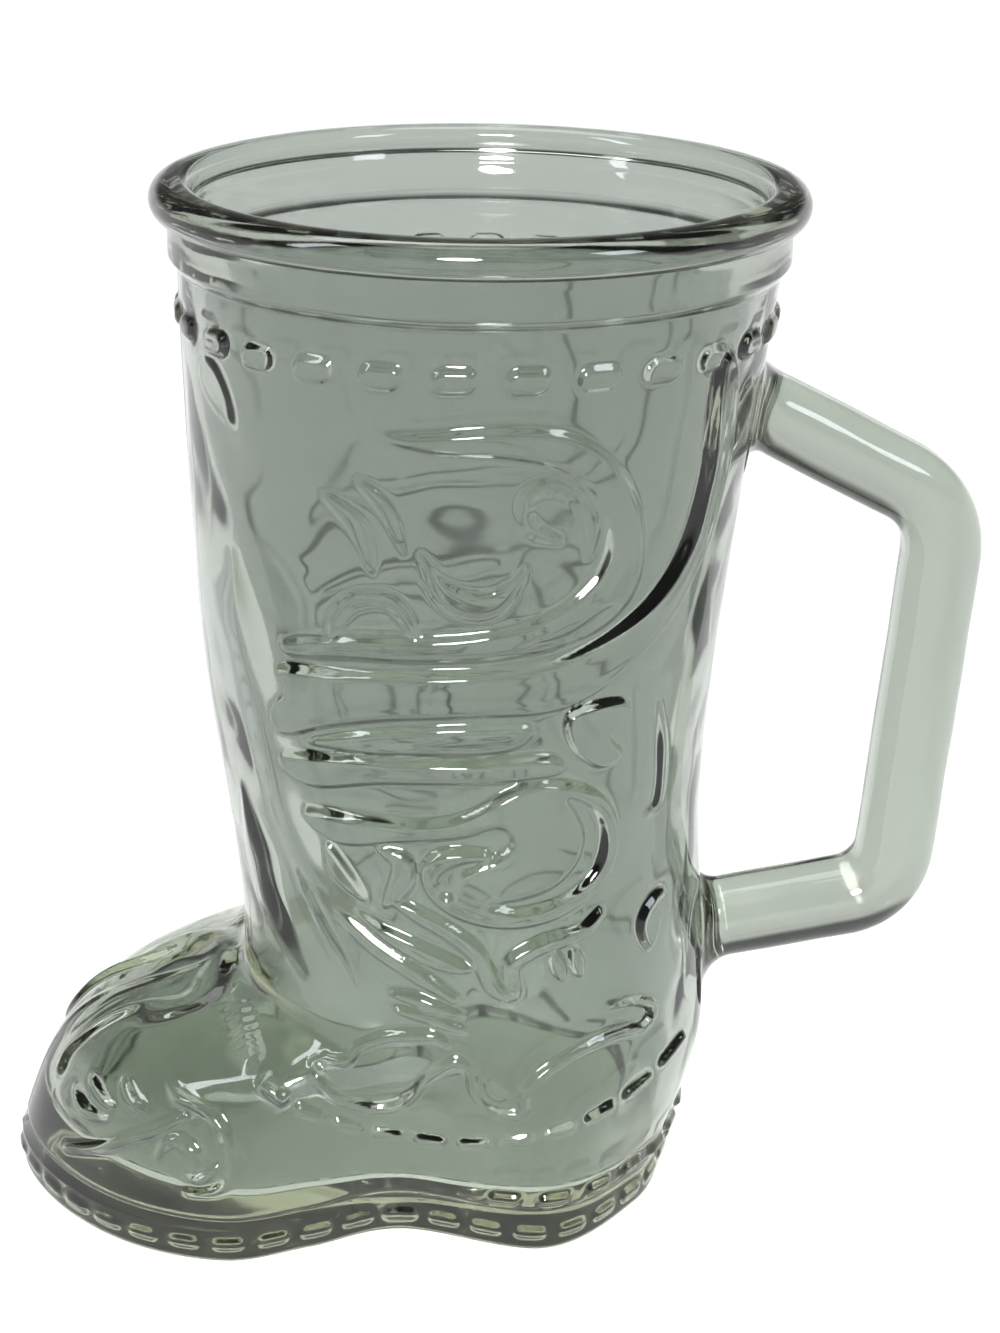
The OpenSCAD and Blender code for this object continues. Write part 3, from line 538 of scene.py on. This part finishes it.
def grid_normals(points):
    """Outward directions over a grid of half rings that runs up the outside."""
    round_way = np.gradient(points, axis=1)
    rise = np.gradient(points, axis=0)
    out = np.cross(round_way, rise)
    out /= np.linalg.norm(out, axis=2)[..., None]
    out[:, [0, -1], 1] = 0
    return out


def softened(height, times):
    """The relief with its edges rounded, as they leave the mould."""
    for _ in range(times):
        rows = np.pad(height, ((1, 1), (0, 0)), mode="edge")
        height = (rows[:-2] + 2 * height + rows[2:]) / 4
        wide = np.pad(height, ((0, 0), (1, 1)), mode="reflect")
        height = (wide[:, :-2] + 2 * height + wide[:, 2:]) / 4
    return height


def outside_rows():
    """Half rings of the skin from the sole's edge up to the collar, with the tooling raised."""
    rows = [at_z(EDGE, z) for z in levels(SOLE_BEVEL, SOLE_H - SOLE_BEVEL, RELIEF_STEP)]
    for z in levels(SOLE_H, LEG_TOP_Z, RELIEF_STEP):
        rows.append(at_z(half_ring(z, z), z))
    points = np.array(rows)
    height = np.maximum(side_relief(points), ring_relief(points))
    height = softened(np.maximum(height, front_relief(points)), SOFTENED)
    height -= GROOVE_DEPTH * np.exp(-(((points[..., 2] - SOLE_H) / GROOVE_W) ** 2))
    wave = waviness(points, *OUTSIDE_WAVE)
    z = points[..., 2]
    fade = ease((LEG_TOP_Z - z) / OUTSIDE_FADE) * ease(z / OUTSIDE_FADE)
    moved = points + grid_normals(points) * (height + wave * fade)[..., None]
    moved[:, [0, -1], 1] = 0
    return list(moved)


def arc(centre, radius, start, end, steps):
    """Points of an arc in the plane of radius and height."""
    a = np.radians(np.linspace(start, end, steps + 1))
    return np.c_[centre[0] + radius * np.cos(a), centre[1] + radius * np.sin(a)]


# Small roundings of the collar band, and the eased slope inside it, as heights round the bead
COLLAR_IN, COLLAR_UP, COLLAR_ROUND, NECK_ROUND = 0.35, 0.25, 0.6, 0.8
SLOPE_TOP, SLOPE_RUN, SLOPE_STEPS = 2.4, 2.6, 9


def rim_rows():
    """Circles of the collar band, the bead and the lip, up the outside and over the top."""
    collar_z = LEG_TOP_Z + (COLLAR_R - LEG_TOP_R)
    profile = np.vstack([
        [[LEG_TOP_R + COLLAR_IN, LEG_TOP_Z + COLLAR_UP],
         [COLLAR_R - COLLAR_IN, collar_z - COLLAR_UP]],
        arc((COLLAR_R - COLLAR_ROUND, collar_z + 0.45), COLLAR_ROUND, -30, 0, 3),
        [[COLLAR_R, z] for z in levels(LEG_TOP_Z + 3, BEAD_Z - NECK_ROUND, 1)],
        arc((COLLAR_R + NECK_ROUND, BEAD_Z - 0.1), NECK_ROUND, 180, 110, 4),
        arc((RIM_R - BEAD_ROUND, BEAD_Z + BEAD_ROUND), BEAD_ROUND, -62, 90, 22),
        arc((MOUTH_R + LIP_ROUND, MUG_H - LIP_ROUND), LIP_ROUND, 90, 180, 10),
        [[MOUTH_R - (MOUTH_R - COLLAR_BORE_R) * ease(t), BEAD_Z + SLOPE_TOP - SLOPE_RUN * t]
         for t in np.linspace(0, 1, SLOPE_STEPS)],
    ])
    return [circle(r, z) for r, z in profile]


def bore_rows():
    """Half rings of the cavity, from under the lip down to its floor."""
    flare = (COLLAR_BORE_R - BORE_R, BEAD_Z - LEG_TOP_Z)
    rows = [circle(BORE_R + flare[0] * (z - LEG_TOP_Z) / flare[1], z)
            for z in levels(LEG_TOP_Z + 1, BEAD_Z - 0.3, BORE_STEP)[::-1]]
    low = FLOOR_H + FLOOR_ROUND
    for z in levels(low, LEG_TOP_Z, BORE_STEP)[::-1]:
        rows.append(at_z(inset(half_ring(z, z + WALL), WALL), z))
    lowest = inset(half_ring(low, low + WALL), WALL)
    for a in np.radians(np.linspace(80, 0, 8)):
        z = FLOOR_H + FLOOR_ROUND * (1 - math.cos(a))
        rows.append(at_z(inset(lowest, FLOOR_ROUND * (1 - math.sin(a))), z))
    points = np.array(rows)
    wave = waviness(points, *BORE_WAVE)
    z = points[..., 2]
    fade = ease((MUG_H - z) / BORE_TOP_FADE) * ease((z - FLOOR_H) / BORE_LOW_FADE)
    moved = points - grid_normals(points) * (wave * fade)[..., None]
    moved[:, [0, -1], 1] = 0
    return list(moved)


def disc_rows(half, centre_x, shares):
    """Half rings that shrink towards a point on the middle plane."""
    centre = np.array([centre_x, 0, half[0][2]])
    return [centre + (half - centre) * s for s in shares]


def bottom_rows():
    """The resting face, and the rounded edge under the sole."""
    rows = []
    for a in np.radians(np.linspace(90, 0, 7)[:-1]):
        inward, up = SOLE_BEVEL * (1 - math.cos(a)), SOLE_BEVEL * (1 - math.sin(a))
        rows.append(at_z(inset(EDGE, inward), up))
    flat = disc_rows(rows[0], -TOE_REACH / 4, [0.04, 0.2, 0.4, 0.6, 0.8, 0.9, 0.96])
    return flat + rows


def closed_mesh(name, halves):
    """A closed mesh through half rings and their mirror image, capped at both ends."""
    halves = np.array(halves)
    mirrored = halves[:, -2:0:-1] * (1, -1, 1)
    rings = np.concatenate([halves, mirrored], axis=1)
    count, n = rings.shape[:2]
    points = rings.reshape(-1, 3)
    k, i = np.meshgrid(np.arange(count - 1), np.arange(n), indexing="ij")
    j = (i + 1) % n
    quads = np.stack([k * n + i, k * n + j, (k + 1) * n + j, (k + 1) * n + i], -1)
    ends = [rings[0].mean(0), rings[-1].mean(0)]
    points = np.vstack([points, ends])
    faces = quads.reshape(-1, 4).tolist()
    top = (count - 1) * n
    low_end, top_end = len(points) - 2, len(points) - 1
    faces += [[low_end, (a + 1) % n, a] for a in range(n)]
    faces += [[top_end, top + a, top + (a + 1) % n] for a in range(n)]
    mesh = bpy.data.meshes.new(name)
    mesh.from_pydata((points * MM).tolist(), [], faces)
    mesh.validate()
    piece = bpy.data.objects.new(name, mesh)
    bpy.context.scene.collection.objects.link(piece)
    return piece


# The handle: a bar with a round-cornered section that bends at two corners
BAR_T, BAR_W, BAR_ROUND = 11.3, 13, 5.2
GRIP_TOP, GRIP_LOW = (67.5, 103.5), (63, 42.5)
ARM_TOP_H, ARM_LOW_H = 119.5, 37
BEND_TOP_R, BEND_LOW_R = 12, 9
FILLET, FILLET_DEPTH = 5, 1.4
BAR_STEP = 0.6
END_TURN = 12
BAR_WAVE, BAR_WAVE_ROOM = (8, 26, 0.06), 0.12
SECTION_STEPS, BEND_STEPS = 8, 16


def leg_back(z):
    """How far back the leg's skin lies at height z."""
    return ANKLE_R + (LEG_TOP_R - ANKLE_R) * column(LEG_LINE, z / LEG_TOP_Z, 2)


def leg_back_normal(z):
    """Direction square to the leg's back, in the side view."""
    way = np.array([1, -(leg_back(z + 1) - leg_back(z - 1)) / 2])
    return way / np.linalg.norm(way)


def bend(a, b, c, radius):
    """Points of the arc that rounds the corner b between a and c."""
    a, b, c = (np.array(p, float) for p in (a, b, c))
    u, v = (a - b) / np.linalg.norm(a - b), (c - b) / np.linalg.norm(c - b)
    half = math.acos(u @ v) / 2
    mid = b + (u + v) / np.linalg.norm(u + v) * radius / math.sin(half)
    start, end = b + u * radius / math.tan(half) - mid, b + v * radius / math.tan(half) - mid
    sweep = math.pi - 2 * half
    share = np.linspace(0, 1, BEND_STEPS + 1)[:, None]
    way = start * np.sin((1 - share) * sweep) + end * np.sin(share * sweep)
    return mid + way / math.sin(sweep)


def bar_section(grow):
    """The bar's section, a rectangle with round corners, made larger by grow."""
    points = []
    for q in range(4):
        sx, sy = (1 if q in (0, 3) else -1), (1 if q < 2 else -1)
        for k in range(SECTION_STEPS + 1):
            a = math.radians(90 * (q + k / SECTION_STEPS))
            points.append([sx * ((BAR_W + grow) / 2 - BAR_ROUND) + BAR_ROUND * math.cos(a),
                           sy * ((BAR_T + grow) / 2 - BAR_ROUND) + BAR_ROUND * math.sin(a)])
    return np.array(points)


def make_handle():
    """The handle as a closed bar whose ends lie inside the leg's wall."""
    top = np.array([leg_back(ARM_TOP_H) - WALL / 2, ARM_TOP_H])
    low = np.array([leg_back(ARM_LOW_H) - WALL / 2, ARM_LOW_H])
    corners_line = np.vstack([[top], bend(top, GRIP_TOP, GRIP_LOW, BEND_TOP_R),
                              bend(GRIP_TOP, GRIP_LOW, low, BEND_LOW_R), [low]])
    run = np.r_[0, np.cumsum(np.linalg.norm(np.diff(corners_line, axis=0), axis=1))]
    at = levels(0, run[-1], BAR_STEP)
    path = np.c_[np.interp(at, run, corners_line[:, 0]), np.interp(at, run, corners_line[:, 1])]
    along = np.gradient(path, axis=0)
    along /= np.linalg.norm(along, axis=1)[:, None]
    ends = ((leg_back_normal(ARM_TOP_H), at), (-leg_back_normal(ARM_LOW_H), run[-1] - at))
    for way, off in ends:
        share = (1 - ease(off / END_TURN))[:, None]
        along = (1 - share) * along + share * way
        along /= np.linalg.norm(along, axis=1)[:, None]
    rings = []
    for (x, z), (ax, az), s in zip(path, along, at):
        off = min(s, run[-1] - s) - WALL / 2 + FILLET_DEPTH
        d = np.clip(off / FILLET, 0, 1)
        grow = 2 * FILLET * (1 - math.sqrt(1 - (1 - d) ** 2))
        section = bar_section(grow)
        rings.append(np.c_[x - az * section[:, 1], section[:, 0], z + ax * section[:, 1]])
    rings = np.array(rings)
    centres = np.c_[path[:, 0], np.zeros(len(path)), path[:, 1]][:, None]
    wave = np.minimum(waviness(rings, *BAR_WAVE) - BAR_WAVE_ROOM, 0)
    outward = rings - centres
    outward /= np.linalg.norm(outward, axis=2)[..., None]
    rings = rings + outward * wave[..., None]
    count, n = rings.shape[:2]
    points = rings.reshape(-1, 3)
    faces = []
    for k in range(count - 1):
        for i in range(n):
            j = (i + 1) % n
            faces.append([k * n + i, k * n + j, (k + 1) * n + j, (k + 1) * n + i])
    faces.append(list(range(n))[::-1])
    faces.append([(count - 1) * n + i for i in range(n)])
    mesh = bpy.data.meshes.new("handle_bar")
    mesh.from_pydata((points * MM).tolist(), [], faces)
    mesh.validate()
    bar = bpy.data.objects.new("handle_bar", mesh)
    bpy.context.scene.collection.objects.link(bar)
    return bar


def make_glass():
    """The whole mug as one closed mesh: the revolved and lofted skin joined with the handle."""
    rows = bottom_rows() + outside_rows() + rim_rows() + bore_rows()
    rows += disc_rows(rows[-1], -TOE_REACH / 5, [0.9, 0.7, 0.5, 0.3, 0.12, 0.03])
    glass = closed_mesh("boot_glass", rows)
    bar = make_handle()
    union = glass.modifiers.new("handle", "BOOLEAN")
    union.operation = "UNION"
    union.solver = "MANIFOLD"
    union.object = bar
    bpy.context.view_layer.update()
    graph = bpy.context.evaluated_depsgraph_get()
    joined = bpy.data.meshes.new_from_object(glass.evaluated_get(graph))
    glass.modifiers.clear()
    glass.data = joined
    bpy.data.objects.remove(bar)
    joined.shade_smooth()
    joined.set_sharp_from_angle(angle=math.radians(SHARP_ANGLE))
    return glass


# The glass: tint where light crosses a face, and tint over its depth in metres. The face tint is
# the glass's own grey-green made darker, and that darkening is painted shade for a dark room seen
# through the glass. The depth tint's yellow is painted warm light from the room, strongest through
# the thick foot.
FACE_TINT_AND_PAINTED_SHADE = (0.455, 0.494, 0.462, 1)
DEPTH_TINT_AND_PAINTED_WARMTH, DEPTH_DENSITY = (0.71, 0.71, 0.55, 1), 30
SHADOW_TINT = (0.9, 0.91, 0.9, 1)
GLASS_IOR = 1.52
# Faint smears: the size of their noise, the levels of it that count and the roughness they give
SMEAR_SCALE, SMEAR_DETAIL, SMEAR_TWIST = 60, 5, 0.6
SMEAR_LEVELS, SMEAR_ROUGHNESS = (0.45, 0.8), (0.05, 0.11)


def glass_material():
    material = bpy.data.materials.new("clear_glass")
    material.use_nodes = True
    nodes, links = material.node_tree.nodes, material.node_tree.links
    nodes.clear()
    out = nodes.new("ShaderNodeOutputMaterial")
    shader = nodes.new("ShaderNodeBsdfPrincipled")
    # The base colour is the glass's grey-green plus painted shade: it is darker than the glass, for
    # a dark room seen through it
    shader.inputs["Base Color"].default_value = FACE_TINT_AND_PAINTED_SHADE
    shader.inputs["Transmission Weight"].default_value = 1
    shader.inputs["IOR"].default_value = GLASS_IOR
    place = nodes.new("ShaderNodeTexCoord")
    smears = nodes.new("ShaderNodeTexNoise")
    smears.inputs["Scale"].default_value = SMEAR_SCALE
    smears.inputs["Detail"].default_value = SMEAR_DETAIL
    smears.inputs["Distortion"].default_value = SMEAR_TWIST
    level = nodes.new("ShaderNodeMapRange")
    level.inputs["From Min"].default_value, level.inputs["From Max"].default_value = SMEAR_LEVELS
    level.inputs["To Min"].default_value, level.inputs["To Max"].default_value = SMEAR_ROUGHNESS
    links.new(place.outputs["Object"], smears.inputs["Vector"])
    links.new(smears.outputs["Fac"], level.inputs["Value"])
    links.new(level.outputs["Result"], shader.inputs["Roughness"])
    # The absorption is a faint grey, and its yellow is painted warm light from the room
    inside = nodes.new("ShaderNodeVolumeAbsorption")
    inside.inputs["Color"].default_value = DEPTH_TINT_AND_PAINTED_WARMTH
    inside.inputs["Density"].default_value = DEPTH_DENSITY
    # Lamps shine through to the floor, so the shadow is as pale as that of real glass
    path = nodes.new("ShaderNodeLightPath")
    through = nodes.new("ShaderNodeBsdfTransparent")
    through.inputs["Color"].default_value = SHADOW_TINT
    either = nodes.new("ShaderNodeMixShader")
    links.new(path.outputs["Is Shadow Ray"], either.inputs["Fac"])
    links.new(shader.outputs["BSDF"], either.inputs[1])
    links.new(through.outputs["BSDF"], either.inputs[2])
    links.new(either.outputs["Shader"], out.inputs["Surface"])
    links.new(inside.outputs["Volume"], out.inputs["Volume"])
    return material


# The studio, in metres. The floor lies just under the sole, so that their faces don't coincide.
# FLOOR_LIT is how bright the lamps alone make it
FLOOR_SIZE = 30
FLOOR_GAP = 0.00005
FLOOR_LIT = 0.755
FLOOR_COLOR = (0.85, 0.85, 0.85, 1)
WHITE = (1, 1, 1, 1)
# The world is white up to the first height over the horizon and dim from the second
HORIZON, WORLD_LEVELS = (0.04, 0.22), (1, 0.1)


def seen_directly(nodes, links):
    """1 for rays that show the background: camera, mirror and glass rays."""
    path = nodes.new("ShaderNodeLightPath")
    first = nodes.new("ShaderNodeMath")
    first.operation = "MAXIMUM"
    links.new(path.outputs["Is Camera Ray"], first.inputs[0])
    links.new(path.outputs["Is Glossy Ray"], first.inputs[1])
    second = nodes.new("ShaderNodeMath")
    second.operation = "MAXIMUM"
    links.new(first.outputs[0], second.inputs[0])
    links.new(path.outputs["Is Transmission Ray"], second.inputs[1])
    return second.outputs[0]


def floor_material():
    """Pale floor: what the lamps give it, filled up to white where nothing shades it."""
    material = bpy.data.materials.new("pale_floor")
    material.use_nodes = True
    nodes, links = material.node_tree.nodes, material.node_tree.links
    nodes.clear()
    out = nodes.new("ShaderNodeOutputMaterial")
    matt = nodes.new("ShaderNodeBsdfDiffuse")
    matt.inputs["Color"].default_value = FLOOR_COLOR
    fill = nodes.new("ShaderNodeEmission")
    fill.inputs["Color"].default_value = WHITE
    strength = nodes.new("ShaderNodeMath")
    strength.operation = "MULTIPLY"
    strength.inputs[1].default_value = 1 - FLOOR_LIT
    links.new(seen_directly(nodes, links), strength.inputs[0])
    links.new(strength.outputs[0], fill.inputs["Strength"])
    both = nodes.new("ShaderNodeAddShader")
    links.new(matt.outputs[0], both.inputs[0])
    links.new(fill.outputs[0], both.inputs[1])
    links.new(both.outputs[0], out.inputs["Surface"])
    return material


def make_floor():
    mesh = bpy.data.meshes.new("floor")
    x = FLOOR_SIZE / 2
    mesh.from_pydata([(-x, -x, 0), (x, -x, 0), (x, x, 0), (-x, x, 0)], [], [(0, 1, 2, 3)])
    floor = bpy.data.objects.new("floor", mesh)
    bpy.context.scene.collection.objects.link(floor)
    floor.location = (0, 0, -FLOOR_GAP)
    mesh.materials.append(floor_material())


def lamp(name, place, aim, size, power, color):
    """An oblong lamp that faces a point."""
    data = bpy.data.lights.new(name, "AREA")
    data.shape = "RECTANGLE"
    data.size, data.size_y = size
    data.energy = power
    data.color = color
    piece = bpy.data.objects.new(name, data)
    bpy.context.scene.collection.objects.link(piece)
    piece.location = place
    piece.rotation_euler = (Vector(aim) - Vector(place)).to_track_quat("-Z", "Y").to_euler()


def sun(name, toward, angle, strength):
    """A light from far away that looks as wide as an angle, so that it lights the floor evenly."""
    data = bpy.data.lights.new(name, "SUN")
    data.angle = math.radians(angle)
    data.energy = strength
    piece = bpy.data.objects.new(name, data)
    bpy.context.scene.collection.objects.link(piece)
    piece.location = toward
    piece.rotation_euler = (-Vector(toward)).to_track_quat("-Z", "Y").to_euler()


def make_studio():
    make_floor()
    sun("key", (-0.25, -1.35, 0.61), 14, 3.3)
    sun("sky", (-0.1, 0.25, 1), 40, 1.05)
    middle = (0, 0, 0.08)
    lamp("window_right", (0.8, -0.7, 0.9), middle, (0.3, 0.4), 4, (0.85, 0.93, 1))
    lamp("window_left", (-0.75, -0.3, 0.7), middle, (0.12, 0.6), 2.5, (0.92, 0.96, 1))
    world = bpy.data.worlds.new("studio")
    bpy.context.scene.world = world
    world.use_nodes = True
    nodes, links = world.node_tree.nodes, world.node_tree.links
    nodes.clear()
    out = nodes.new("ShaderNodeOutputWorld")
    # A pale backdrop all round at the floor's far edge, and a dim room above it
    light = nodes.new("ShaderNodeBackground")
    light.inputs["Color"].default_value = WHITE
    place = nodes.new("ShaderNodeTexCoord")
    split = nodes.new("ShaderNodeSeparateXYZ")
    height = nodes.new("ShaderNodeMapRange")
    height.interpolation_type = "SMOOTHSTEP"
    height.inputs["From Min"].default_value, height.inputs["From Max"].default_value = HORIZON
    height.inputs["To Min"].default_value, height.inputs["To Max"].default_value = WORLD_LEVELS
    links.new(place.outputs["Generated"], split.inputs["Vector"])
    links.new(split.outputs["Z"], height.inputs["Value"])
    links.new(height.outputs["Result"], light.inputs["Strength"])
    links.new(light.outputs[0], out.inputs["Surface"])
    bpy.context.scene.view_settings.view_transform = "Standard"


make_camera()
glass = make_glass()
glass.data.materials.clear()
glass.data.materials.append(glass_material())
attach(glass, "root")
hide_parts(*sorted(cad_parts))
make_studio()
